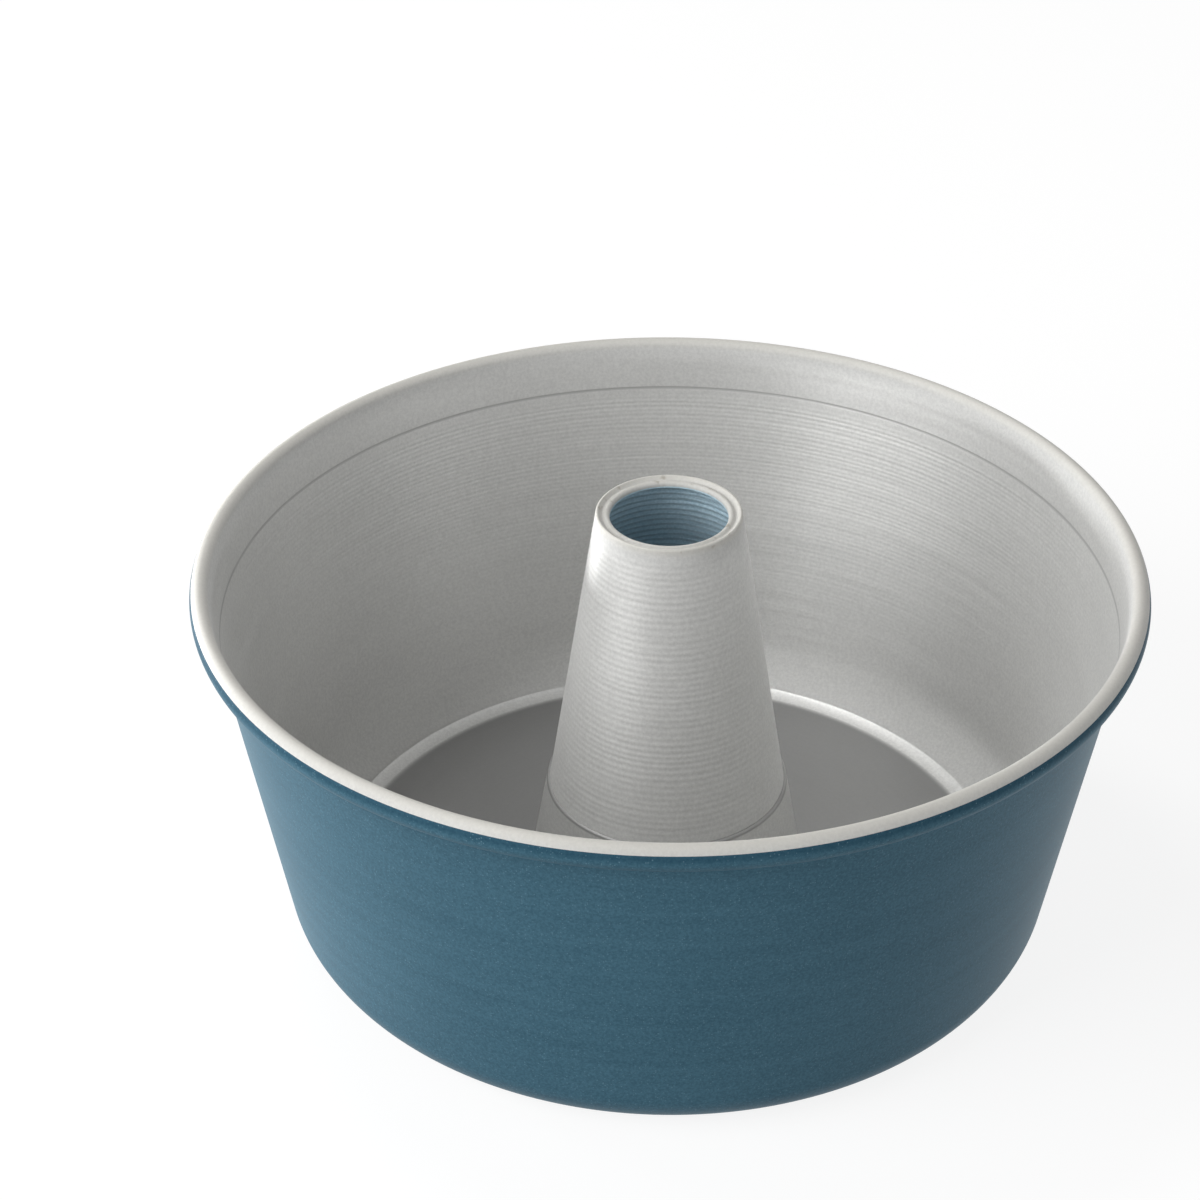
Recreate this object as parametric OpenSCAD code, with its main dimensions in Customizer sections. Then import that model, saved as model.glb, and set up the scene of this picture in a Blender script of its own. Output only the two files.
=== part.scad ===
// Two-piece angel food cake pan: an open tapered wall with a rolled rim, and a lift-out
// insert made of a base plate and the centre tube pressed into the plate's drawn neck.
// Millimetres, +Z up, Z = 0 on the bench, every piece turned about the Z axis.

/* [Pan wall] */
// Outer diameter over the rolled rim
rim_d = 262; // [240:1:300]
// Height of the rim above the bench
pan_h = 112; // [95:0.1:130]
// Lean of the wall from upright, in degrees
wall_angle = 9.65; // [5:0.05:12]
// Thickness of the wall's sheet
sheet = 0.8; // [0.6:0.1:1.2]
// Outer radius of the turn between the wall and the bottom ledge
corner_r = 15.7; // [10:0.1:20]
// Width of the flat ledge, from the bottom opening to the wall's bottom turn
ledge_w = 8.7; // [4:0.1:20]
// Distance of the pressed line below the rim, on the inside of the wall
line_drop = 15.1; // [10:0.1:30]
// Width of the pressed line
line_w = 1.2; // [0.6:0.1:2]
// Depth of the pressed line
line_depth = 0.2; // [0.1:0.05:0.4]

/* [Rolled rim] */
// Outer radius of the curl
curl_r = 4.4; // [3.6:0.1:5.5]
// Radius of the shoulder where the wall's lining turns over into the curl
shoulder_r = 2.2; // [1.4:0.1:2.4]
// Distance of the curl's centre from the wall's lining
curl_out = 1; // [0.85:0.01:1.3]
// Gap between the end of the curl and the wall
curl_gap = 0.3; // [0.2:0.05:0.5]
// Angle above level at which the outside coat ends on the curl, in degrees
coat_angle = 28; // [5:1:40]

/* [Base plate] */
// Thickness of the base plate's sheet
plate_t = 0.8; // [0.6:0.1:1.2]
// How far the plate's rim curves up, in degrees
plate_rim_angle = 25; // [15:1:35]
// Play between the plate's rim and the wall's bottom turn
rim_play = 0.3; // [0.2:0.05:0.6]
// How far the plate's rim stands in from the wall's bottom turn
side_play = 0.5; // [0.3:0.1:1.2]
// Height of the neck's lip above the bench
neck_h = 38; // [25:0.5:60]
// Outer radius of the neck at its lip
neck_r = 34.45; // [30:0.05:40]
// Lean of the neck from upright, in degrees
neck_angle = 9.8; // [6:0.1:14]
// Radius of the fillet between the plate and the neck
neck_fillet = 3; // [1.5:0.1:6]

/* [Centre tube] */
// Height of the tube's top edge above the bench
tube_h = 126.5; // [100:0.5:160]
// Outer radius of the tube at its top edge
tube_top_r = 20.1; // [18.5:0.1:24]
// Thickness of the tube's sheet
tube_t = 0.8; // [0.6:0.1:1.2]
// Length of the tube inside the neck
lap = 12; // [6:0.5:18]
// Radius of the hole in the turned-in top
hole_r = 16.2; // [14:0.1:16.8]
// Depth of the lip's end below the tube's top edge
lip_depth = 3.4; // [2.8:0.1:6]
// Radius of the bend into the lip
lip_bend = 0.9; // [0.9:0.05:1.1]
// Drop from the tube's top edge to the crest of the lip
lip_drop = 0.5; // [0.2:0.1:1]
// Depth of the ring-shaped groove in the tube's top
groove_depth = 0.7; // [0.3:0.1:1]
// Radius of the rounded top edge
edge_r = 0.6; // [0.4:0.05:0.8]

/* [Hidden] */
$fn = 180;
coat_colour = "#4f7389";
lining_colour = "#b9b7b1";
// Degrees between the points of an arc
arc_step = 4;
// Steps across the groove of the tube's top
groove_steps = 12;
// How far a cut runs past the faces that it opens
over = 1;

// Unit vectors up along the wall and square out of it
wall_up = [sin(wall_angle), cos(wall_angle)];
wall_out = [cos(wall_angle), -sin(wall_angle)];

// The curl is tangent inside to the shoulder, and the shoulder to the wall's lining
shoulder_along = sqrt(pow(curl_r - shoulder_r, 2) - pow(shoulder_r - curl_out, 2));
shoulder_step = (shoulder_r - curl_out) * wall_out + shoulder_along * wall_up;
shoulder_c = [rim_d / 2 - curl_r + shoulder_step.x, pan_h - shoulder_r];
curl_c = shoulder_c - shoulder_step;
turn_angle = atan2(shoulder_step.y, shoulder_step.x);
lining_foot_r = curl_c.x - (curl_out + curl_c.y * sin(wall_angle)) / cos(wall_angle);
// Where the curl ends, curl_gap off the outside of the wall
curl_end_angle = -acos((curl_gap - curl_out + sheet) / curl_r) - wall_angle;

corner_c = [wall_r(0, sheet) - corner_r * (1 - sin(wall_angle)) / cos(wall_angle), corner_r];
opening_r = corner_c.x - ledge_w;
line_h = pan_h - line_drop;

// The plate lies on the ledge, and its rim curves up inside the wall's bottom turn
plate_z = sheet;
plate_rim_r = corner_r - sheet - rim_play;
plate_rim_c = [corner_c.x - side_play, plate_z + plate_rim_r];
fillet_z = plate_z + plate_t + neck_fillet;
fillet_c = [neck_outer_r(fillet_z) + neck_fillet / cos(neck_angle), fillet_z];

tube_foot_z = neck_h - lap;
edge_c = [tube_top_r - edge_r, tube_h - edge_r];
lip_c = [hole_r + lip_bend, tube_h - lip_drop - lip_bend];
tube_angle = atan((neck_inner_r(neck_h) - tube_top_r) / (tube_h - neck_h));
// Radius of the tube's inside at the height where its wall turns in
bore_top_r = tube_top_r + 2 * tube_t * tan(tube_angle) - tube_t / cos(tube_angle);

// Radius at height z of the line that lies off the wall's lining by the distance out
function wall_r(z, out) = lining_foot_r + z * tan(wall_angle) + out / cos(wall_angle);
function wall_point(z, out) = [wall_r(z, out), z];
function neck_outer_r(z) = neck_r + (neck_h - z) * tan(neck_angle);
function neck_inner_r(z) = neck_outer_r(z) - plate_t / cos(neck_angle);
function polar(c, r, a) = c + r * [cos(a), sin(a)];

// Points of an arc; first = 1 leaves out the point that the line before it ends on
function arc(c, r, from, to, first = 0) =
    let (n = ceil(abs(to - from) / arc_step))
    [for (i = [first:n]) polar(c, r, from + (to - from) * i / n)];

// Height at radius x of the tube's top, which dips to a groove between its edge and its lip
function top_z(x) =
    let (s = (edge_c.x - x) / (edge_c.x - lip_c.x))
    tube_h - lip_drop * s - groove_depth * (1 - cos(360 * s)) / 2;

// Points along that top or under it, between two radii and without them
function groove(from, to, down) =
    [for (i = [1:groove_steps - 1])
        let (x = from + (to - from) * i / groove_steps)
        [x, top_z(x) - down]];

module turned(points) {
    rotate_extrude() polygon(points);
}

// Everything under the coat: the outside of the pan, filled in
module coat_form() {
    coat_end = polar(curl_c, curl_r, coat_angle);
    curl_tip = polar(curl_c, curl_r, curl_end_angle);
    turned(concat(
        [[0, 0]],
        arc(corner_c, corner_r, -90, -wall_angle),
        [curl_tip - curl_gap * wall_out],
        arc(curl_c, curl_r, curl_end_angle, coat_angle),
        [coat_end + [over, over],
         [coat_end.x + over, pan_h + over],
         [0, pan_h + over]]
    ));
}

// The space inside the pan and over its rim, as far as the coat's edge
module lining_form() {
    coat_end = polar(curl_c, curl_r, coat_angle);
    turned(concat(
        [[0, -over], [opening_r, -over], [opening_r, sheet]],
        arc(corner_c, corner_r - sheet, -90, -wall_angle),
        [wall_point(line_h - line_w / 2, 0),
         wall_point(line_h, line_depth),
         wall_point(line_h + line_w / 2, 0)],
        arc(shoulder_c, shoulder_r, 180 - wall_angle, turn_angle),
        arc(curl_c, curl_r, turn_angle, coat_angle, 1),
        [[coat_end.x + 2 * over, coat_end.y],
         [coat_end.x + 2 * over, pan_h + 2 * over],
         [0, pan_h + 2 * over]]
    ));
}

// The hollow inside the curl, with its slit beside the wall
module curl_hollow() {
    curl_tip = polar(curl_c, curl_r, curl_end_angle);
    turned(concat(
        arc(shoulder_c, shoulder_r - sheet, 180 - wall_angle, turn_angle),
        arc(curl_c, curl_r - sheet, turn_angle, curl_end_angle, 1),
        [polar(curl_c, curl_r + over, curl_end_angle),
         curl_tip - curl_gap * wall_out - over * wall_up]
    ));
}

// Tapered wall, bottom ledge and rolled rim, all one sheet
module pan_wall() {
    difference() {
        color(coat_colour) coat_form();
        color(lining_colour) lining_form();
        color(coat_colour) curl_hollow();
    }
}

// Flat plate with an upturned rim, and a neck drawn up from its middle
module base_plate() {
    difference() {
        color(lining_colour) turned(concat(
            [[0, plate_z]],
            arc(plate_rim_c, plate_rim_r, -90, plate_rim_angle - 90),
            arc(plate_rim_c, plate_rim_r - plate_t, plate_rim_angle - 90, -90),
            arc(fillet_c, neck_fillet, 270, 180 + neck_angle),
            [[neck_r, neck_h], [0, neck_h]]
        ));
        color(coat_colour) turned(concat(
            [[0, plate_z - over], [fillet_c.x, plate_z - over]],
            arc(fillet_c, neck_fillet + plate_t, 270, 180 + neck_angle),
            [[neck_inner_r(neck_h + over), neck_h + over],
             [0, neck_h + over]]
        ));
    }
}

// Tapered tube, open at its foot, with its top turned in to a short lip
module centre_tube() {
    lip_back_r = hole_r + tube_t;
    difference() {
        color(lining_colour) turned(concat(
            [[0, tube_foot_z],
             [neck_inner_r(tube_foot_z), tube_foot_z],
             [neck_inner_r(neck_h), neck_h]],
            arc(edge_c, edge_r, tube_angle, 90),
            groove(edge_c.x, lip_c.x, 0),
            arc(lip_c, lip_bend, 90, 180),
            [[0, lip_c.y]]
        ));
        color(lining_colour)
            translate([0, 0, tube_h - lip_depth - over])
                cylinder(r = hole_r, h = lip_depth + 2 * over);
        color(coat_colour) turned(concat(
            [[0, tube_foot_z - over],
             [neck_inner_r(tube_foot_z - over) - tube_t / cos(neck_angle), tube_foot_z - over],
             [neck_inner_r(neck_h) - tube_t / cos(neck_angle), neck_h],
             [bore_top_r, tube_h - 2 * tube_t]],
            groove(bore_top_r, lip_back_r, tube_t),
            [[lip_back_r, top_z(lip_back_r) - tube_t],
             [lip_back_r, tube_h - lip_depth],
             [0, tube_h - lip_depth]]
        ));
    }
}

pan_wall();
base_plate();
centre_tube();
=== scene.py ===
"""Angel food cake pan: the looks of its three sheet-metal pieces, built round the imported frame.

Everything is in metres, in the frame of the CAD model: +Z up the tube's axis, Z = 0 on the bench.
"""

import math
import random

import bpy
from bpy.props import FloatProperty, FloatVectorProperty, IntProperty, PointerProperty
from mathutils import Euler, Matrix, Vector


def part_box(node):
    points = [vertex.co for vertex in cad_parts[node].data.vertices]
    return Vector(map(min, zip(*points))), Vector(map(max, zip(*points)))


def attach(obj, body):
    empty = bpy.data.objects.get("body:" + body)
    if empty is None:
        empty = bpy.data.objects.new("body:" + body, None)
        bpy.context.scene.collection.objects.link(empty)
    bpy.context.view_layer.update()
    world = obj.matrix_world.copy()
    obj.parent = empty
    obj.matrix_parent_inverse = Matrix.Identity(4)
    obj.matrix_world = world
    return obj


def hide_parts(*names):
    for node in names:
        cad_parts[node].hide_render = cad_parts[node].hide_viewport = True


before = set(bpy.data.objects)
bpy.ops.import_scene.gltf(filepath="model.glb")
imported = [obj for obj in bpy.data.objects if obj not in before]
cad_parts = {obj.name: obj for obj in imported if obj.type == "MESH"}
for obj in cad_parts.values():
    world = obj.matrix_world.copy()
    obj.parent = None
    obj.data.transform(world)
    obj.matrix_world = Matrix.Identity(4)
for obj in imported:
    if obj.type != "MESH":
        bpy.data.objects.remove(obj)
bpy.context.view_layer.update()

bl_info = {
    "name": "Angel food cake pan",
    "version": (1, 0, 0),
    "blender": (4, 5, 0),
    "location": "3D View > Sidebar > Cake pan",
    "description": "Builds the pan's wall, base plate and centre tube, with their finishes",
    "category": "Object",
}

MM = 0.001

QUARTER = math.pi / 2

# The boxes of the CAD nodes give the sizes that the frame settles
WALL_LOW, WALL_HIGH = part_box("pan_wall")
PLATE_LOW, PLATE_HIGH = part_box("base_plate")
TUBE_LOW, TUBE_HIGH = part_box("centre_tube")

# Order of the two finishes on a piece
LINING, COAT = 0, 1

# Points of an outline that are nearer than this are one point
SAME_POINT = 1e-7
# Smallest square of a radius, so that nothing is divided by nought on the axis
LEAST_SQUARE = 1e-12
# Steps of an outline's curves: the bottom turn, the roll, its shoulder, bends, and small ones
TURN_STEPS = 24
ROLL_STEPS = 30
SHOULDER_STEPS = 14
BEND_STEPS = 12
EDGE_STEPS = 10
SMALL_STEPS = 8
# A side that meets the next at more than this is a crisp edge
CRISP_ANGLE = math.radians(40)
# Seeds of the uneven ridges on each piece
WALL_SEED = 11
TUBE_SEED = 23
NECK_SEED = 31
# Spread of a ridge's pitch, and of its depth, as shares
PITCH_SPREAD = (0.86, 1.14)
DEPTH_SPREAD = (0.55, 1.0)
# How deep the wall's ridges are at their foot, as a share of their depth at the top
WALL_FIRST = 0.1
# Rounding of the neck's lip, as a share of the sheet
LIP_ROUND = 0.9
# Depth below the tube's top at which the lining ends on its lip
LIP_LINING = 1.7 * MM

# Noise of each finish: streaks round and across the axis, clouds and grain, in cells to a metre,
# the grain's roughness, and how far the grain spreads from its middle
LINING_NOISE = {
    "round": 2.2, "across": 620.0, "cloud": 26.0, "grain": 1100.0, "rough": 0.7, "spread": 0.15
}
COAT_NOISE = {
    "round": 1.6, "across": 300.0, "cloud": 18.0, "grain": 1300.0, "rough": 0.75, "spread": 0.12
}
# Detail of the noise, and of the rings' slow drift, and the roughness of the streaks
NOISE_DETAIL = 3.0
DRIFT_DETAIL = 1.0
STREAK_ROUGH = 0.6
# Shares of streaks, clouds and grain in each finish's tone
LINING_SHARES = (0.22, 0.13, 0.65)
COAT_SHARES = (0.25, 0.2, 0.55)
# Relief of each finish: shares of streaks and grain, then its depth
LINING_RELIEF = (0.4, 0.6, 0.05 * MM)
COAT_RELIEF = (0.6, 0.4, 0.04 * MM)
# Strength of the relief: the lining's goes with how grooved it is
LINING_RELIEF_STRENGTH = 0.6
COAT_RELIEF_STRENGTH = 0.3
# Lowest and highest roughness of each finish, and the lining's part that goes with its shine
LINING_ROUGH = (0.38, 0.48)
COAT_ROUGH = (0.38, 0.46)
DULL_ROUGH = 0.5
SHINY_ROUGH = 0.225
# Metallic share of a lining and of the tube's, and of the coat, and the coat's plain gloss
LINING_METAL = 0.45
TUBE_METAL = 0.28
COAT_METAL = 0.06
COAT_GLOSS = 0.06
# How far the linings are grooved round the axis, the plate's less so
LINING_GROOVED = 0.7
PLATE_GROOVED = 0.3
# A quarter turn lays the long side of the highlights up the wall, across the grooves
GROOVE_TURN = 0.25

# Depth below an edge over which its own tone fades in, where the coat's painted shade is at its
# full strength as a share of that, and how strong both are
EDGE_FADE = 2.5 * MM
COAT_EDGE_SHADE_FULL = 0.4
EDGE_SHARE = 0.6
# Height up to which the plate's flat has its painted shade, the fade above it, and its strength
FLAT_SHADE_HIGH = PLATE_LOW.z + 0.95 * MM
FLAT_SHADE_FADE = 0.15 * MM
FLAT_SHADE_SHARE = 0.9
# The wall's lining is duller in its bottom turn, and every lining is duller over its top edge:
# heights between which the shine comes up, depths between which it goes, and the shares left
TURN_LOW = 9.0 * MM
TURN_HIGH = 17.0 * MM
TURN_SHINE = 0.1
TOP_LOW = 7.0 * MM
TOP_HIGH = 2.0 * MM
TOP_SHINE = 0.15
# A level line of painted shade: its distances from its middle, in widths, at which its tone
# starts and ends to fade
SHADE_LINE_FADE = (0.2, 0.5)
# The line of painted shade along the neck's lip, dimming the highlight on its rounded edge: its
# middle below the lip, and its width
LIP_SHADE_DROP = 0.3 * MM
LIP_SHADE_WIDTH = 1.8 * MM
# Size of the worn marks, in spots to a metre, the noise at which a spot starts and is full, their
# depth below the edge, the share of it where they are strongest, and their strength
WEAR_SCALE = 260.0
WEAR_SPOT = (0.6, 0.68)
WEAR_DEPTH = 2.5 * MM
WEAR_FULL = 0.3
WEAR_SHARE = 0.55
# How strongly painted shade lies in rings between the spinning ridges inside the tube, how far
# they wander, in turns, the part of the wave that they take, and their tone as a share of the
# deep one
RING_SHADE_SHARE = 0.4
RING_WANDER = 0.6
RING_WAVE = (0.1, 0.9)
RING_SHADE_TONE = 0.3
# Flakes of the coat: cells to a metre, a flake's fading edge in cells, how few cells have one,
# and how strongly it shows
FLAKE_SCALE = 1900.0
FLAKE_EDGE = (0.25, 0.45)
FLAKE_CHOICE = (0.86, 0.94)
FLAKE_SHARE = 0.4

# The camera, fitted to the rim, the wall's outline and the tube
CAMERA_PLACE = (0.0, -0.66597687, 0.53077168)
CAMERA_ANGLES = (56.97176185, 0.31263833, 1.42579067)
CAMERA_LENS = 85.98603
CAMERA_SENSOR = 36.0

WHITE = (1.0, 1.0, 1.0, 1.0)
FLOOR_SIZE = 8.0
FLOOR_DROP = -0.1 * MM
# Share of the floor's look that comes from the light on it, and the plain white under that
FLOOR_SHARE = 0.22
FLOOR_WHITE = 0.86
# Share of its colour that the floor throws back on the object
FLOOR_BOUNCE = 0.45
# Strength of the world's light on dull surfaces, level with the bench and from overhead
WORLD_LEVEL = 0.85
WORLD_OVERHEAD = 0.0
# Name, direction round the pan, height angle, distance, side and power of each lamp
LAMPS = (
    ("key_light", -148.0, 33.0, 1.8, 1.3, 24.0),
    ("top_light", 135.0, 68.0, 1.8, 0.5, 6.5),
    ("left_light", 150.0, 1.0, 1.8, 0.25, 30.0),
)
# Height of the point that the lamps face
LAMP_AIM = 0.05


class PanSizes(bpy.types.PropertyGroup):
    """Sizes of the three pieces, in the frame's own metres and radians."""

    segments: IntProperty(
        name="Steps round the axis",
        description="How many flats each turned piece has round its axis",
        default=288,
        min=48,
    )
    sheet: FloatProperty(
        name="Sheet",
        description="Thickness of the sheet metal",
        default=0.8 * MM,
        unit="LENGTH",
    )
    rim_radius: FloatProperty(
        name="Rim radius",
        description="Outermost radius of the rolled rim",
        default=131.0 * MM,
        unit="LENGTH",
    )
    wall_angle: FloatProperty(
        name="Wall lean",
        description="Lean of the wall from upright",
        default=math.radians(9.65),
        unit="ROTATION",
    )
    corner_radius: FloatProperty(
        name="Bottom turn",
        description="Outer radius of the turn between wall and ledge",
        default=15.7 * MM,
        unit="LENGTH",
    )
    ledge_width: FloatProperty(
        name="Ledge width",
        description="Width of the flat ledge under the base plate",
        default=8.7 * MM,
        unit="LENGTH",
    )
    curl_radius: FloatProperty(
        name="Curl radius",
        description="Outer radius of the rolled rim's curl",
        default=4.4 * MM,
        unit="LENGTH",
    )
    shoulder_radius: FloatProperty(
        name="Shoulder radius",
        description="Radius where the wall's lining turns over into the curl",
        default=2.2 * MM,
        unit="LENGTH",
    )
    curl_out: FloatProperty(
        name="Curl offset",
        description="Distance of the curl's centre from the wall's lining",
        default=1.0 * MM,
        unit="LENGTH",
    )
    curl_gap: FloatProperty(
        name="Curl gap",
        description="Gap between the end of the curl and the wall",
        default=0.3 * MM,
        unit="LENGTH",
    )
    coat_angle: FloatProperty(
        name="Coat edge",
        description="Angle above level at which the outside coat ends on the curl",
        default=math.radians(28.0),
        unit="ROTATION",
    )
    line_drop: FloatProperty(
        name="Pressed line",
        description="Distance of the pressed line below the rim",
        default=15.1 * MM,
        unit="LENGTH",
    )
    line_width: FloatProperty(
        name="Pressed line width",
        description="Width of the pressed line",
        default=1.2 * MM,
        unit="LENGTH",
    )
    line_depth: FloatProperty(
        name="Pressed line depth",
        description="Depth of the pressed line",
        default=0.06 * MM,
        unit="LENGTH",
    )
    plate_rim_angle: FloatProperty(
        name="Plate rim",
        description="How far the base plate's rim curves up",
        default=math.radians(25.0),
        unit="ROTATION",
    )
    rim_play: FloatProperty(
        name="Rim play",
        description="Play between the plate's rim and the wall's bottom turn",
        default=0.3 * MM,
        unit="LENGTH",
    )
    side_play: FloatProperty(
        name="Side play",
        description="How far the plate's rim stands in from the wall's bottom turn",
        default=0.5 * MM,
        unit="LENGTH",
    )
    neck_radius: FloatProperty(
        name="Neck radius",
        description="Outer radius of the drawn neck at its lip",
        default=34.45 * MM,
        unit="LENGTH",
    )
    neck_angle: FloatProperty(
        name="Neck lean",
        description="Lean of the drawn neck from upright",
        default=math.radians(9.8),
        unit="ROTATION",
    )
    neck_fillet: FloatProperty(
        name="Neck fillet",
        description="Radius of the fillet between plate and neck",
        default=3.0 * MM,
        unit="LENGTH",
    )
    tube_top_radius: FloatProperty(
        name="Tube top radius",
        description="Outer radius of the tube at its top edge",
        default=20.1 * MM,
        unit="LENGTH",
    )
    hole_radius: FloatProperty(
        name="Tube hole",
        description="Radius of the hole in the tube's turned-in top",
        default=16.2 * MM,
        unit="LENGTH",
    )
    lip_depth: FloatProperty(
        name="Lip depth",
        description="Depth of the lip's end below the tube's top edge",
        default=2.1 * MM,
        unit="LENGTH",
    )
    lip_bend: FloatProperty(
        name="Lip bend",
        description="Radius of the bend into the lip",
        default=0.9 * MM,
        unit="LENGTH",
    )
    lip_drop: FloatProperty(
        name="Lip drop",
        description="Drop from the tube's top edge to the crest of the lip",
        default=0.5 * MM,
        unit="LENGTH",
    )
    groove_depth: FloatProperty(
        name="Top groove",
        description="Depth of the ring-shaped groove in the tube's top",
        default=0.7 * MM,
        unit="LENGTH",
    )
    edge_radius: FloatProperty(
        name="Top edge",
        description="Radius of the tube's rounded top edge",
        default=0.6 * MM,
        unit="LENGTH",
    )
    tube_ridge_pitch: FloatProperty(
        name="Tube ridge pitch",
        description="Height of one spinning ridge on the tube",
        default=1.85 * MM,
        unit="LENGTH",
    )
    tube_ridge_height: FloatProperty(
        name="Tube ridge height",
        description="How far a ridge stands off the valleys beside it on the tube",
        default=0.13 * MM,
        unit="LENGTH",
    )
    neck_ridge_height: FloatProperty(
        name="Neck ridge height",
        description="How far a ridge stands off the valleys beside it on the neck",
        default=0.09 * MM,
        unit="LENGTH",
    )
    bore_ridge_height: FloatProperty(
        name="Bore ridge height",
        description="How far a ridge stands off the valleys beside it inside the tube",
        default=0.35 * MM,
        unit="LENGTH",
    )
    wall_ridge_pitch: FloatProperty(
        name="Wall ridge pitch",
        description="Height of one fine ridge on the wall's lining",
        default=1.4 * MM,
        unit="LENGTH",
    )
    wall_ridge_height: FloatProperty(
        name="Wall ridge height",
        description="How far a fine ridge stands off the valleys beside it on the wall",
        default=0.08 * MM,
        unit="LENGTH",
    )


class PanColours(bpy.types.PropertyGroup):
    """Colours of the two finishes and of the stage, as linear values."""

    coat_deep: FloatVectorProperty(
        name="Coat, deep",
        description="Deeper tone of the blue coat",
        default=(0.037, 0.106, 0.155),
        subtype="COLOR",
        min=0.0,
        max=1.0,
    )
    coat_pale: FloatVectorProperty(
        name="Coat, pale",
        description="Paler tone of the blue coat",
        default=(0.081, 0.191, 0.262),
        subtype="COLOR",
        min=0.0,
        max=1.0,
    )
    # Painted shade on the blue coat just below its edge on the rim, under the curl
    coat_edge_shade: FloatVectorProperty(
        name="Coat, at its edge",
        description="Tone of the blue coat just below its edge on the rim",
        default=(0.012, 0.05, 0.085),
        subtype="COLOR",
        min=0.0,
        max=1.0,
    )
    # Painted light: the coat inside the tube has far paler tones than the outside, standing in
    # for the light inside the tube
    bore_painted_light_deep: FloatVectorProperty(
        name="Bore coat, deep",
        description="Deeper tone of the coat inside the tube",
        default=(0.43, 0.58, 0.67),
        subtype="COLOR",
        min=0.0,
        max=1.0,
    )
    bore_painted_light_pale: FloatVectorProperty(
        name="Bore coat, pale",
        description="Paler tone of the coat inside the tube",
        default=(0.64, 0.8, 0.88),
        subtype="COLOR",
        min=0.0,
        max=1.0,
    )
    flake: FloatVectorProperty(
        name="Flake",
        description="Colour of the bright flakes in the coat",
        default=(0.22, 0.38, 0.47),
        subtype="COLOR",
        min=0.0,
        max=1.0,
    )
    lining_deep: FloatVectorProperty(
        name="Lining, deep",
        description="Deeper tone of the silver lining",
        default=(0.575, 0.575, 0.565),
        subtype="COLOR",
        min=0.0,
        max=1.0,
    )
    lining_pale: FloatVectorProperty(
        name="Lining, pale",
        description="Paler tone of the silver lining",
        default=(0.7, 0.7, 0.685),
        subtype="COLOR",
        min=0.0,
        max=1.0,
    )
    edge_tone: FloatVectorProperty(
        name="Edge tone",
        description="Warmer tone of the lining over the rim and the tube's top",
        default=(0.62, 0.6, 0.54),
        subtype="COLOR",
        min=0.0,
        max=1.0,
    )
    # Painted shade: darkens the neck's lip to dim the highlight on its rounded edge
    lip_shade_tone: FloatVectorProperty(
        name="Neck lip tone",
        description="Tone of the lining along the neck's lip",
        default=(0.33, 0.33, 0.325),
        subtype="COLOR",
        min=0.0,
        max=1.0,
    )
    wear: FloatVectorProperty(
        name="Wear",
        description="Tone of the rubbed marks at the tube's top edge",
        default=(0.3, 0.26, 0.2),
        subtype="COLOR",
        min=0.0,
        max=1.0,
    )
    # Painted shade: the pressed line is darkened in colour for the shade in its groove
    pressed_line_shade: FloatVectorProperty(
        name="Line tone",
        description="Tone of the lining in the pressed line",
        default=(0.45, 0.45, 0.445),
        subtype="COLOR",
        min=0.0,
        max=1.0,
    )
    # Painted shade: the plate's flat is darkened to about a third of the lining, for the shade
    # and dark reflections on it
    flat_shade_tone: FloatVectorProperty(
        name="Plate tone",
        description="Tone of the lining on the flat of the base plate",
        default=(0.225, 0.225, 0.223),
        subtype="COLOR",
        min=0.0,
        max=1.0,
    )
    floor: FloatVectorProperty(
        name="Floor",
        description="Colour of the studio floor",
        default=(0.86, 0.86, 0.86),
        subtype="COLOR",
        min=0.0,
        max=1.0,
    )


def polar(centre, radius, angle):
    return (centre[0] + radius * math.cos(angle), centre[1] + radius * math.sin(angle))


def arc(centre, radius, start, end, steps):
    """Points of an arc in the (radius, height) plane, both ends among them."""
    return [polar(centre, radius, start + (end - start) * i / steps) for i in range(steps + 1)]


def ridged(start, end, pitch, height, rng, first=1.0, fade=4.0 * MM, per_ridge=4):
    """A straight line with spinning ridges, uneven as a roller leaves them.

    The valleys go into the metal, on the line's right-hand side, so the piece stays inside its
    CAD solid. They fade out towards both ends, and near the start they are only the share first
    of their full height.
    """
    dx, dz = end[0] - start[0], end[1] - start[1]
    length = math.hypot(dx, dz)
    ux, uz = dx / length, dz / length
    nx, nz = uz, -ux
    points = [start]
    at = 0.0
    while at < length:
        step = pitch * rng.uniform(*PITCH_SPREAD)
        deep = height * rng.uniform(*DEPTH_SPREAD)
        for i in range(1, per_ridge + 1):
            s = at + step * i / per_ridge
            if s >= length:
                break
            ease = min(1.0, s / fade, (length - s) / fade)
            ease *= first + (1.0 - first) * s / length
            dip = deep * ease * (1 - math.cos(2 * math.pi * i / per_ridge)) / 2
            points.append((start[0] + ux * s + nx * dip, start[1] + uz * s + nz * dip))
        at += step
    points.append(end)
    return points


def joined(*runs):
    """Runs of (points, finish) as one closed outline: its points, and the finish of the side
    that ends at each."""
    points, finishes = [], []
    for run, finish in runs:
        for point in run:
            if points and math.dist(point, points[-1]) < SAME_POINT:
                continue
            points.append(point)
            finishes.append(finish)
    if math.dist(points[0], points[-1]) < SAME_POINT:
        points.pop()
        finishes[0] = finishes.pop()
    else:
        finishes[0] = finishes[-1]
    return points, finishes


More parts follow.
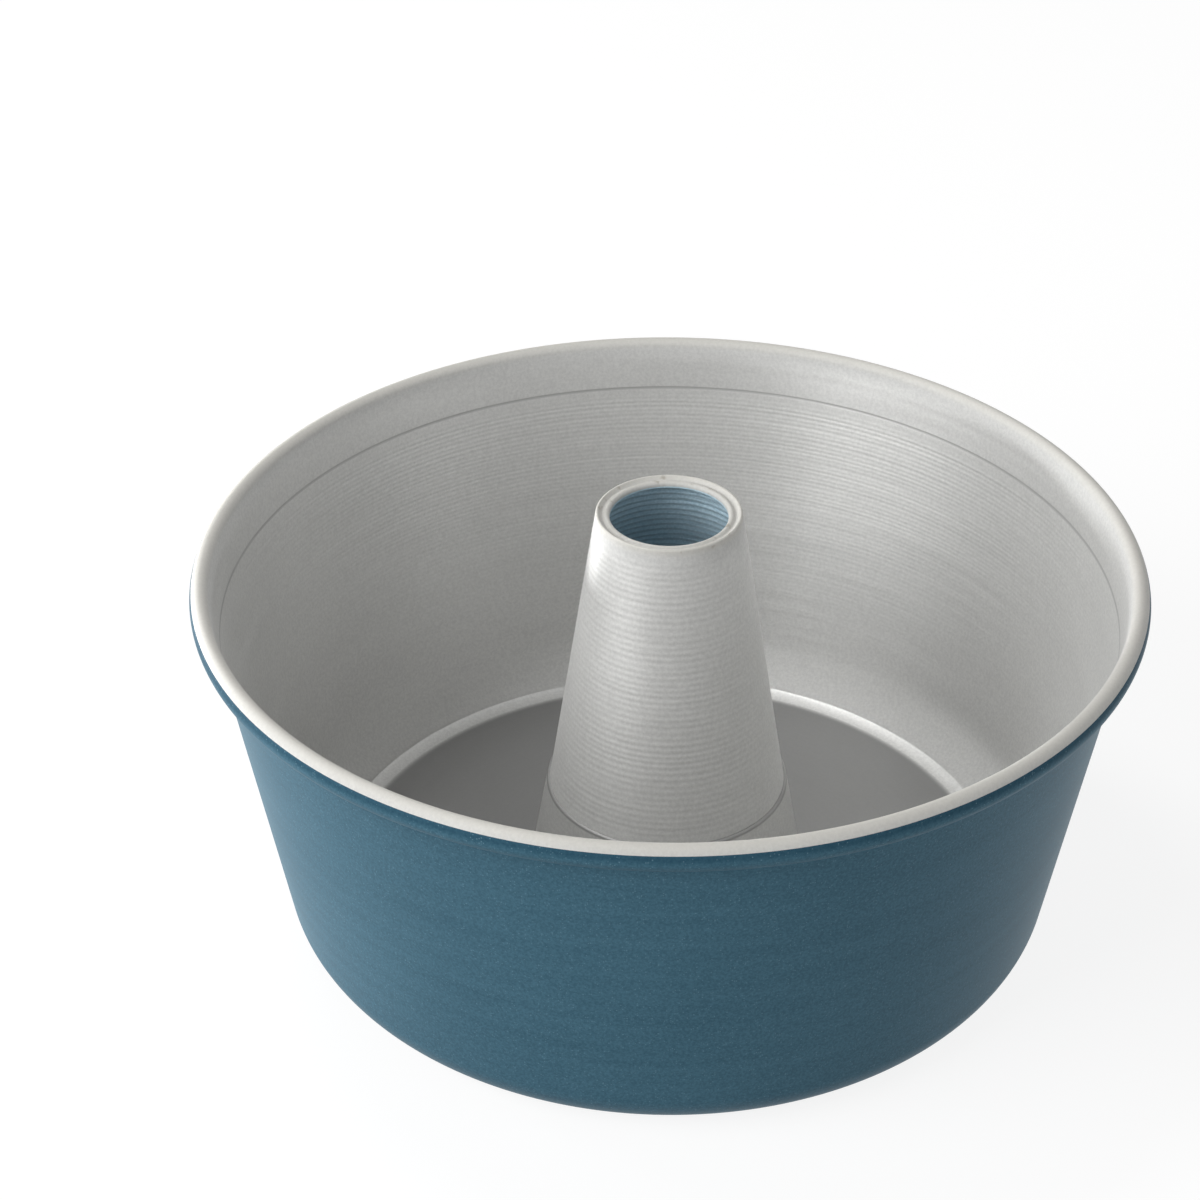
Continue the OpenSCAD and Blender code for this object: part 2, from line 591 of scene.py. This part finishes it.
def turn(name, outline, finishes, materials, segments):
    """A closed solid turned about Z, one material slot for each finish.

    The outline runs with the metal on its right-hand side, so that every face looks outwards.
    """
    count = len(outline)
    verts = []
    for k in range(segments):
        a = 2 * math.pi * k / segments
        c, s = math.cos(a), math.sin(a)
        verts += [(r * c, r * s, z) for r, z in outline]
    faces = []
    slots = []
    for k in range(segments):
        here, there = k * count, ((k + 1) % segments) * count
        for i in range(count):
            j = (i + 1) % count
            faces.append((here + i, here + j, there + j, there + i))
            slots.append(finishes[j])
    mesh = bpy.data.meshes.new(name)
    mesh.from_pydata(verts, [], faces)
    for material in materials:
        mesh.materials.append(material)
    mesh.polygons.foreach_set("material_index", slots)
    mesh.polygons.foreach_set("use_smooth", [True] * len(faces))
    mesh.update()
    obj = bpy.data.objects.new(name, mesh)
    bpy.context.scene.collection.objects.link(obj)
    mesh.set_sharp_from_angle(angle=CRISP_ANGLE)
    return obj


def pan_lines(s):
    """The points and angles that the wall's outline is drawn from."""
    lean = s.wall_angle
    up = (math.sin(lean), math.cos(lean))
    out = (math.cos(lean), -math.sin(lean))
    across = s.shoulder_radius - s.curl_out
    along = math.sqrt((s.curl_radius - s.shoulder_radius) ** 2 - across**2)
    step = (across * out[0] + along * up[0], across * out[1] + along * up[1])
    shoulder = (s.rim_radius - s.curl_radius + step[0], WALL_HIGH.z - s.shoulder_radius)
    curl = (shoulder[0] - step[0], shoulder[1] - step[1])
    foot = curl[0] - (s.curl_out + curl[1] * math.sin(lean)) / math.cos(lean)
    corner = (
        foot + (s.sheet - s.corner_radius * (1 - math.sin(lean))) / math.cos(lean),
        s.corner_radius,
    )
    return {
        "lean": lean,
        "shoulder": shoulder,
        "curl": curl,
        "foot": foot,
        "corner": corner,
        "turn": math.atan2(step[1], step[0]),
        "curl_end": -math.acos((s.curl_gap - s.curl_out + s.sheet) / s.curl_radius) - lean,
    }


def wall_outline(s, rng):
    """Wall, ledge and rolled rim: up the lining, round the curl, and down the coat."""
    p = pan_lines(s)
    lean, corner, shoulder, curl = p["lean"], p["corner"], p["shoulder"], p["curl"]

    def lining(z):
        return (p["foot"] + z * math.tan(lean), z)

    opening = corner[0] - s.ledge_width
    line_z = WALL_HIGH.z - s.line_drop
    turn_in = arc(corner, s.corner_radius - s.sheet, -QUARTER, -lean, TURN_STEPS)
    line_low = line_z - s.line_width / 2
    pressed = [
        (lining(z)[0] + s.line_depth * (1 + math.cos(t)) / 2, z)
        for t, z in (
            (math.pi * (2 * i / BEND_STEPS - 1), line_low + s.line_width * i / BEND_STEPS)
            for i in range(BEND_STEPS + 1)
        )
    ]
    inside = [(opening, s.sheet), (corner[0], s.sheet)] + turn_in
    ridge = (s.wall_ridge_pitch, s.wall_ridge_height)
    inside += ridged(turn_in[-1], lining(line_low), *ridge, rng, first=WALL_FIRST)
    inside += pressed
    inside += arc(shoulder, s.shoulder_radius, math.pi - lean, p["turn"], SHOULDER_STEPS)
    inside += arc(curl, s.curl_radius, p["turn"], s.coat_angle, SMALL_STEPS)
    outside = arc(curl, s.curl_radius, s.coat_angle, p["curl_end"], ROLL_STEPS)
    outside += arc(curl, s.curl_radius - s.sheet, p["curl_end"], p["turn"], ROLL_STEPS)
    under = s.shoulder_radius - s.sheet
    outside += arc(shoulder, under, p["turn"], math.pi - lean, SMALL_STEPS)
    outside += arc(corner, s.corner_radius, -lean, -QUARTER, TURN_STEPS)
    outside += [(opening, 0.0), (opening, s.sheet)]
    return joined((inside, LINING), (outside, COAT))


def neck_radius(s, z):
    """Outer radius of the base plate's drawn neck at height z."""
    return s.neck_radius + (PLATE_HIGH.z - z) * math.tan(s.neck_angle)


def plate_outline(s, rng):
    """Plate and neck: in under the plate, up inside the neck, and down and out again."""
    corner = pan_lines(s)["corner"]
    low = PLATE_LOW.z
    rim_radius = s.corner_radius - s.sheet - s.rim_play
    rim = (corner[0] - s.side_play, low + rim_radius)
    fillet_z = low + s.sheet + s.neck_fillet
    fillet = (neck_radius(s, fillet_z) + s.neck_fillet / math.cos(s.neck_angle), fillet_z)
    through = s.sheet / math.cos(s.neck_angle)
    rim_top = s.plate_rim_angle - QUARTER
    neck_end = math.pi + s.neck_angle
    lip = LIP_ROUND * s.sheet
    lip_z = PLATE_HIGH.z - lip
    lip_centre = (neck_radius(s, lip_z) - lip / math.cos(s.neck_angle), lip_z)

    under = arc(rim, rim_radius, rim_top, -QUARTER, EDGE_STEPS)
    under += arc(fillet, s.neck_fillet + s.sheet, 3 * QUARTER, neck_end, BEND_STEPS)
    under += [(neck_radius(s, PLATE_HIGH.z) - through, PLATE_HIGH.z)]
    above = arc(lip_centre, lip, QUARTER, s.neck_angle, SMALL_STEPS)
    foot = polar(fillet, s.neck_fillet, neck_end)
    above += ridged(above[-1], foot, s.tube_ridge_pitch, s.neck_ridge_height, rng)
    above += arc(fillet, s.neck_fillet, neck_end, 3 * QUARTER, BEND_STEPS)
    above += arc(rim, rim_radius - s.sheet, -QUARTER, rim_top, EDGE_STEPS)
    above += [under[0]]
    return joined((under, COAT), (above, LINING))


def tube_outline(s, rng):
    """Tube: up the lip's inside, over the grooved top, down the ridged outside, and up again."""
    high = TUBE_HIGH.z
    through = s.sheet / math.cos(s.neck_angle)
    neck_in = neck_radius(s, PLATE_HIGH.z) - through
    foot_in = neck_radius(s, TUBE_LOW.z) - through
    edge = (s.tube_top_radius - s.edge_radius, high - s.edge_radius)
    lip = (s.hole_radius + s.lip_bend, high - s.lip_drop - s.lip_bend)
    lean = math.atan((neck_in - s.tube_top_radius) / (high - PLATE_HIGH.z))
    bore_top = s.tube_top_radius + 2 * s.sheet * math.tan(lean) - s.sheet / math.cos(lean)
    lip_back = s.hole_radius + s.sheet

    def top_z(r):
        t = (edge[0] - r) / (edge[0] - lip[0])
        return high - s.lip_drop * t - s.groove_depth * (1 - math.cos(2 * math.pi * t)) / 2

    def groove(start, end, down):
        run = [start + (end - start) * i / BEND_STEPS for i in range(1, BEND_STEPS)]
        return [(r, top_z(r) - down) for r in run]

    over = [(s.hole_radius, high - LIP_LINING)]
    over += arc(lip, s.lip_bend, math.pi, QUARTER, BEND_STEPS)
    over += groove(lip[0], edge[0], 0.0)
    over += arc(edge, s.edge_radius, QUARTER, lean, EDGE_STEPS)
    foot = (neck_in, PLATE_HIGH.z)
    over += ridged(over[-1], foot, s.tube_ridge_pitch, s.tube_ridge_height, rng)
    over += [(foot_in, TUBE_LOW.z)]
    bore = [(foot_in - through, TUBE_LOW.z)]
    bore_foot, bore_head = (neck_in - through, PLATE_HIGH.z), (bore_top, high - 2 * s.sheet)
    bore += ridged(bore_foot, bore_head, s.tube_ridge_pitch, s.bore_ridge_height, rng)
    bore += groove(bore_top, lip_back, s.sheet)
    bore += [(lip_back, top_z(lip_back) - s.sheet), (lip_back, high - s.lip_depth)]
    bore += [(s.hole_radius, high - s.lip_depth), (s.hole_radius, high - LIP_LINING)]
    return joined((over, LINING), (bore, COAT))


class Nodes:
    """A material's node tree, built from short calls."""

    def __init__(self, name):
        self.material = bpy.data.materials.new(name)
        self.material.use_nodes = True
        self.tree = self.material.node_tree
        self.tree.nodes.clear()

    def add(self, kind, values=None, **settings):
        """A node with its settings, and its inputs by name or index: values or other outputs."""
        node = self.tree.nodes.new(kind)
        for key, value in settings.items():
            setattr(node, key, value)
        for key, value in (values or {}).items():
            if isinstance(value, bpy.types.NodeSocket):
                self.tree.links.new(value, node.inputs[key])
            else:
                node.inputs[key].default_value = value
        return node

    def math(self, operation, *values):
        return self.add("ShaderNodeMath", dict(enumerate(values)), operation=operation).outputs[0]

    def range(self, value, low, high, to_low=0.0, to_high=1.0):
        values = {"Value": value, 1: low, 2: high, 3: to_low, 4: to_high}
        return self.add("ShaderNodeMapRange", values).outputs[0]

    def spread(self, value, half=0.2, ends=(0.0, 1.0)):
        """Noise stretched from the band about its middle to the two ends."""
        return self.range(value, 0.5 - half, 0.5 + half, *ends)

    def total(self, values, shares):
        """Sum of the values, each times its share."""
        parts = [self.math("MULTIPLY", value, share) for value, share in zip(values, shares)]
        whole = parts.pop()
        while parts:
            whole = self.math("ADD", parts.pop(), whole)
        return whole

    def mix(self, factor, first, second):
        values = {0: factor, 6: first, 7: second}
        return self.add("ShaderNodeMix", values, data_type="RGBA").outputs[2]

    def finish(self, shader):
        self.add("ShaderNodeOutputMaterial", {"Surface": shader})
        return self.material


def turned_place(nodes, round_scale, across_scale):
    """Noise coordinates that run long round the axis and short across it, with no seam."""
    place = nodes.add("ShaderNodeTexCoord").outputs["Object"]
    xyz = nodes.add("ShaderNodeSeparateXYZ", {0: place}).outputs
    square = nodes.math(
        "ADD", nodes.math("MULTIPLY", xyz[0], xyz[0]), nodes.math("MULTIPLY", xyz[1], xyz[1])
    )
    radius = nodes.math("SQRT", nodes.math("MAXIMUM", square, LEAST_SQUARE))
    ring = [
        nodes.math("MULTIPLY", nodes.math("DIVIDE", xyz[i], radius), round_scale)
        for i in (0, 1)
    ]
    up = nodes.math("MULTIPLY", xyz[2], across_scale)
    vector = nodes.add("ShaderNodeCombineXYZ", {0: ring[0], 1: ring[1], 2: up}).outputs[0]
    return vector, nodes.math("MULTIPLY", radius, across_scale), place


def noise(nodes, vector, scale=1.0, detail=2.0, roughness=0.5, w=None):
    values = {"Vector": vector, "Scale": scale, "Detail": detail, "Roughness": roughness}
    if w is None:
        return nodes.add("ShaderNodeTexNoise", values).outputs[0]
    values["W"] = w
    return nodes.add("ShaderNodeTexNoise", values, noise_dimensions="4D").outputs[0]


def opaque(colour, share=1.0):
    return (*[share * v for v in colour], 1.0)


def surface(n, kind, shares, relief, strength):
    """What both finishes start from, as a dict of outputs.

    It holds the place and its height, the noise vector and radius of the streaks, the streaks and
    the grain, the tone from 0 to 1 that they and faint clouds make, and the relief as a normal.
    """
    vector, radius, place = turned_place(n, kind["round"], kind["across"])
    streaks = noise(n, vector, detail=NOISE_DETAIL, roughness=STREAK_ROUGH, w=radius)
    cloud = noise(n, place, scale=kind["cloud"], detail=NOISE_DETAIL)
    grain = noise(n, place, scale=kind["grain"], roughness=kind["rough"])
    tones = (n.spread(streaks), n.spread(cloud), n.spread(grain, kind["spread"]))
    *parts, depth = relief
    height = n.total((streaks, grain), parts)
    bump = {"Height": height, "Strength": strength, "Distance": depth}
    return {
        "place": place,
        "z": n.add("ShaderNodeSeparateXYZ", {0: place}).outputs[2],
        "vector": vector,
        "radius": radius,
        "streaks": streaks,
        "grain": grain,
        "tone": n.total(tones, shares),
        "normal": n.add("ShaderNodeBump", bump).outputs[0],
    }


def lining_finish(
    name,
    c,
    edge_z,
    grooved=LINING_GROOVED,
    metal=LINING_METAL,
    line=None,
    flat=False,
    turned_in=False,
    worn=False,
):
    """Pale silver lining: satin, spun round the axis, with a fine sprayed grain.

    It turns warmer over an edge at the height edge_z, takes a painted shade in a level line,
    given by its height, width and tone, and has a painted shade where a plate lies flat on the
    ledge.
    turned_in is for a lining that runs down into the bottom turn, and worn is for one with small
    rubbed marks at its edge.
    """
    n = Nodes(name)
    strength = LINING_RELIEF_STRENGTH * grooved
    base = surface(n, LINING_NOISE, LINING_SHARES, LINING_RELIEF, strength)
    z = base["z"]
    colour = n.mix(base["tone"], opaque(c.lining_deep), opaque(c.lining_pale))
    edge = n.range(z, edge_z - EDGE_FADE, edge_z, 0.0, EDGE_SHARE)
    colour = n.mix(edge, colour, opaque(c.edge_tone))
    if worn:
        spots = noise(n, base["place"], scale=WEAR_SCALE, detail=NOISE_DETAIL)
        spots = n.range(spots, *WEAR_SPOT)
        full = edge_z - WEAR_FULL * WEAR_DEPTH
        below = n.range(z, edge_z - WEAR_DEPTH, full, 0.0, WEAR_SHARE)
        colour = n.mix(n.math("MULTIPLY", spots, below), colour, opaque(c.wear))
    # Painted shade along a level line: the pressed groove's shade, or the dimmed highlight on the
    # neck's lip
    if line is not None:
        line_z, width, tone = line
        off = n.math("ABSOLUTE", n.math("SUBTRACT", z, line_z))
        near = n.range(off, SHADE_LINE_FADE[0] * width, SHADE_LINE_FADE[1] * width, 1.0, 0.0)
        colour = n.mix(near, colour, opaque(tone))
    # Painted shade on the plate's flat
    if flat:
        low = n.range(z, FLAT_SHADE_HIGH - FLAT_SHADE_FADE, FLAT_SHADE_HIGH, FLAT_SHADE_SHARE, 0.0)
        colour = n.mix(low, colour, opaque(c.flat_shade_tone))
    shine = n.range(z, edge_z - TOP_LOW, edge_z - TOP_HIGH, 1.0, TOP_SHINE)
    if turned_in:
        shine = n.math("MULTIPLY", shine, n.range(z, TURN_LOW, TURN_HIGH, TURN_SHINE, 1.0))
    rough = n.spread(base["streaks"], ends=LINING_ROUGH)
    dull = n.range(shine, 0.0, 1.0, DULL_ROUGH - metal / 2, SHINY_ROUGH - metal / 2)
    values = {
        "Base Color": colour,
        "Metallic": n.math("MULTIPLY", shine, metal),
        "Roughness": n.math("ADD", rough, dull),
        "Anisotropic": grooved,
        "Anisotropic Rotation": GROOVE_TURN,
        "Normal": base["normal"],
        "Tangent": n.add("ShaderNodeTangent", direction_type="RADIAL", axis="Z").outputs[0],
    }
    return n.finish(n.add("ShaderNodeBsdfPrincipled", values).outputs[0])


def coat_finish(name, c, deep, pale, edge_z=None, rings=None):
    """Blue coat: satin, with fine bright flakes and faint level streaks.

    It has a painted shade just below an edge at the height edge_z, and painted shade in level
    rings at the pitch rings, between the spinning ridges.
    """
    n = Nodes(name)
    base = surface(n, COAT_NOISE, COAT_SHARES, COAT_RELIEF, COAT_RELIEF_STRENGTH)
    z = base["z"]
    colour = n.mix(base["tone"], opaque(deep), opaque(pale))
    # Painted shade in level rings between the spinning ridges
    if rings is not None:
        drift = noise(n, base["vector"], detail=DRIFT_DETAIL, w=base["radius"])
        turns = n.math("ADD", n.math("DIVIDE", z, rings), n.math("MULTIPLY", drift, RING_WANDER))
        wave = n.math("SINE", n.math("MULTIPLY", turns, 2 * math.pi))
        ring_shade = n.range(wave, *RING_WAVE, 0.0, RING_SHADE_SHARE)
        colour = n.mix(ring_shade, colour, opaque(deep, RING_SHADE_TONE))
    # Painted shade on the coat just below its edge on the rim
    if edge_z is not None:
        full = edge_z - COAT_EDGE_SHADE_FULL * EDGE_FADE
        shade = n.range(z, edge_z - EDGE_FADE, full, 0.0, EDGE_SHARE)
        colour = n.mix(shade, colour, opaque(c.coat_edge_shade))
    cells = n.add("ShaderNodeTexVoronoi", {"Vector": base["place"], "Scale": FLAKE_SCALE}).outputs
    chosen = n.add("ShaderNodeSeparateColor", {0: cells["Color"]}).outputs[0]
    near = n.range(cells["Distance"], *FLAKE_EDGE, 1.0, 0.0)
    flake = n.math("MULTIPLY", near, n.range(chosen, *FLAKE_CHOICE))
    colour = n.mix(n.math("MULTIPLY", flake, FLAKE_SHARE), colour, opaque(c.flake))
    values = {
        "Base Color": colour,
        "Metallic": COAT_METAL,
        "Specular IOR Level": COAT_GLOSS,
        "Roughness": n.spread(base["grain"], ends=COAT_ROUGH),
        "Normal": base["normal"],
    }
    return n.finish(n.add("ShaderNodeBsdfPrincipled", values).outputs[0])


def floor_finish(c):
    """Pale studio floor: it reads as white in the picture and keeps the object's shadow."""
    n = Nodes("studio_floor")
    rays = n.add("ShaderNodeLightPath").outputs
    seen = n.math(
        "MAXIMUM",
        rays["Is Camera Ray"],
        n.math("MAXIMUM", rays["Is Glossy Ray"], rays["Is Transmission Ray"]),
    )
    bounced = n.add("ShaderNodeBsdfDiffuse", {"Color": opaque(c.floor, FLOOR_BOUNCE)}).outputs[0]
    lit = n.add("ShaderNodeBsdfDiffuse", {"Color": opaque(c.floor, FLOOR_SHARE)}).outputs[0]
    glow = n.add("ShaderNodeEmission", {"Color": WHITE, "Strength": FLOOR_WHITE}).outputs[0]
    white = n.add("ShaderNodeAddShader", {0: lit, 1: glow}).outputs[0]
    return n.finish(n.add("ShaderNodeMixShader", {0: seen, 1: bounced, 2: white}).outputs[0])


def studio_world():
    """White behind the object and in its reflections, and softer light from all round."""
    world = bpy.data.worlds.new("studio")
    world.use_nodes = True
    tree = world.node_tree
    tree.nodes.clear()
    rays = tree.nodes.new("ShaderNodeLightPath").outputs
    seen = rays["Is Camera Ray"]
    for other in ("Is Glossy Ray", "Is Transmission Ray"):
        most = tree.nodes.new("ShaderNodeMath")
        most.operation = "MAXIMUM"
        tree.links.new(seen, most.inputs[0])
        tree.links.new(rays[other], most.inputs[1])
        seen = most.outputs[0]
    way = tree.nodes.new("ShaderNodeSeparateXYZ")
    tree.links.new(tree.nodes.new("ShaderNodeTexCoord").outputs["Generated"], way.inputs[0])
    fill = tree.nodes.new("ShaderNodeMapRange")
    fill.inputs[3].default_value = WORLD_LEVEL
    fill.inputs[4].default_value = WORLD_OVERHEAD
    tree.links.new(way.outputs[2], fill.inputs[0])
    level = tree.nodes.new("ShaderNodeMapRange")
    level.inputs[4].default_value = 1.0
    tree.links.new(seen, level.inputs[0])
    tree.links.new(fill.outputs[0], level.inputs[3])
    back = tree.nodes.new("ShaderNodeBackground")
    tree.links.new(level.outputs[0], back.inputs["Strength"])
    back.inputs["Color"].default_value = WHITE
    out = tree.nodes.new("ShaderNodeOutputWorld")
    tree.links.new(back.outputs[0], out.inputs["Surface"])
    bpy.context.scene.world = world


def softbox(name, round_angle, height_angle, distance, side, power):
    """A square area lamp in a direction from the pan, turned to face it."""
    data = bpy.data.lights.new(name, "AREA")
    data.shape = "SQUARE"
    data.size = side
    data.energy = power
    lamp = bpy.data.objects.new(name, data)
    bpy.context.scene.collection.objects.link(lamp)
    aim = Vector((0.0, 0.0, LAMP_AIM))
    turned, raised = math.radians(round_angle), math.radians(height_angle)
    level = math.cos(raised)
    way = Vector((level * math.cos(turned), level * math.sin(turned), math.sin(raised)))
    lamp.location = aim + distance * way
    lamp.rotation_euler = (-way).to_track_quat("-Z", "Y").to_euler()


def studio_camera():
    data = bpy.data.cameras.new("camera")
    data.lens = CAMERA_LENS
    data.sensor_width = CAMERA_SENSOR
    camera = bpy.data.objects.new("camera", data)
    bpy.context.scene.collection.objects.link(camera)
    camera.location = CAMERA_PLACE
    camera.rotation_euler = Euler([math.radians(a) for a in CAMERA_ANGLES], "XYZ")
    bpy.context.scene.camera = camera


def wall_finishes(context):
    """The wall's lining and coat, in the order of their finish numbers."""
    sizes, colours = context.scene.pan_sizes, context.scene.pan_colours
    line_z = WALL_HIGH.z - sizes.line_drop
    # The pressed line carries painted shade, darker for the shade in its groove
    line = (line_z, sizes.line_width, colours.pressed_line_shade)
    lining = lining_finish("wall_lining", colours, WALL_HIGH.z, line=line, turned_in=True)
    edge_z = pan_lines(sizes)["curl"][1] + sizes.curl_radius * math.sin(sizes.coat_angle)
    coat = coat_finish("wall_coat", colours, colours.coat_deep, colours.coat_pale, edge_z)
    return [lining, coat]


def plate_finishes(context):
    colours = context.scene.pan_colours
    # The neck's lip takes a line of painted shade that dims its highlight
    lip = (PLATE_HIGH.z - LIP_SHADE_DROP, LIP_SHADE_WIDTH, colours.lip_shade_tone)
    # flat=True gives the plate's flat its painted shade
    lining = lining_finish(
        "plate_lining", colours, TUBE_HIGH.z, grooved=PLATE_GROOVED, line=lip, flat=True
    )
    return [lining, coat_finish("plate_coat", colours, colours.coat_deep, colours.coat_pale)]


def tube_finishes(context):
    colours, pitch = context.scene.pan_colours, context.scene.pan_sizes.tube_ridge_pitch
    lining = lining_finish("tube_lining", colours, TUBE_HIGH.z, metal=TUBE_METAL, worn=True)
    # The bore's coat has painted light: paler tones that stand in for the light in the bore
    coat = coat_finish("bore_coat_painted_light", colours, colours.bore_painted_light_deep, colours.bore_painted_light_pale, rings=pitch)
    return [lining, coat]


class CAKEPAN_OT_wall(bpy.types.Operator):
    """Build the tapered wall with its bottom ledge and rolled rim"""

    bl_idname = "cakepan.wall"
    bl_label = "Wall and rolled rim"

    def execute(self, context):
        sizes = context.scene.pan_sizes
        outline, sides = wall_outline(sizes, random.Random(WALL_SEED))
        piece = turn("wall_sheet", outline, sides, wall_finishes(context), sizes.segments)
        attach(piece, "pan")
        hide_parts("pan_wall")
        return {"FINISHED"}


class CAKEPAN_OT_plate(bpy.types.Operator):
    """Build the lift-out base plate with its upturned rim and drawn neck"""

    bl_idname = "cakepan.plate"
    bl_label = "Base plate"

    def execute(self, context):
        sizes = context.scene.pan_sizes
        outline, sides = plate_outline(sizes, random.Random(NECK_SEED))
        piece = turn("base_sheet", outline, sides, plate_finishes(context), sizes.segments)
        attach(piece, "insert")
        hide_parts("base_plate")
        return {"FINISHED"}


class CAKEPAN_OT_tube(bpy.types.Operator):
    """Build the ridged centre tube with its turned-in top"""

    bl_idname = "cakepan.tube"
    bl_label = "Centre tube"

    def execute(self, context):
        sizes = context.scene.pan_sizes
        outline, sides = tube_outline(sizes, random.Random(TUBE_SEED))
        piece = turn("tube_sheet", outline, sides, tube_finishes(context), sizes.segments)
        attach(piece, "insert")
        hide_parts("centre_tube")
        return {"FINISHED"}


class CAKEPAN_OT_stage(bpy.types.Operator):
    """Set up the floor, the soft light and the camera"""

    bl_idname = "cakepan.stage"
    bl_label = "Studio"

    def execute(self, context):
        mesh = bpy.data.meshes.new("floor")
        half = FLOOR_SIZE / 2
        corners = [(-half, -half), (half, -half), (half, half), (-half, half)]
        mesh.from_pydata([(x, y, FLOOR_DROP) for x, y in corners], [], [(0, 1, 2, 3)])
        mesh.materials.append(floor_finish(context.scene.pan_colours))
        floor = bpy.data.objects.new("floor", mesh)
        context.scene.collection.objects.link(floor)
        studio_world()
        for lamp in LAMPS:
            softbox(*lamp)
        studio_camera()
        context.scene.view_settings.view_transform = "Standard"
        return {"FINISHED"}


class CAKEPAN_PT_sidebar(bpy.types.Panel):
    """Lists the pieces of the pan and their sizes"""

    bl_idname = "CAKEPAN_PT_sidebar"
    bl_label = "Angel food cake pan"
    bl_space_type = "VIEW_3D"
    bl_region_type = "UI"
    bl_category = "Cake pan"

    def draw(self, context):
        column = self.layout.column()
        for operator in OPERATORS:
            column.operator(operator.bl_idname)
        for group in (context.scene.pan_sizes, context.scene.pan_colours):
            for name in group.__annotations__:
                column.prop(group, name)


OPERATORS = (CAKEPAN_OT_wall, CAKEPAN_OT_plate, CAKEPAN_OT_tube, CAKEPAN_OT_stage)
CLASSES = (PanSizes, PanColours, *OPERATORS, CAKEPAN_PT_sidebar)


def register():
    for cls in CLASSES:
        bpy.utils.register_class(cls)
    bpy.types.Scene.pan_sizes = PointerProperty(type=PanSizes)
    bpy.types.Scene.pan_colours = PointerProperty(type=PanColours)


def unregister():
    del bpy.types.Scene.pan_colours
    del bpy.types.Scene.pan_sizes
    for cls in reversed(CLASSES):
        bpy.utils.unregister_class(cls)


def main():
    register()
    bpy.ops.cakepan.wall()
    bpy.ops.cakepan.plate()
    bpy.ops.cakepan.tube()
    bpy.ops.cakepan.stage()


if __name__ == "__main__":
    main()
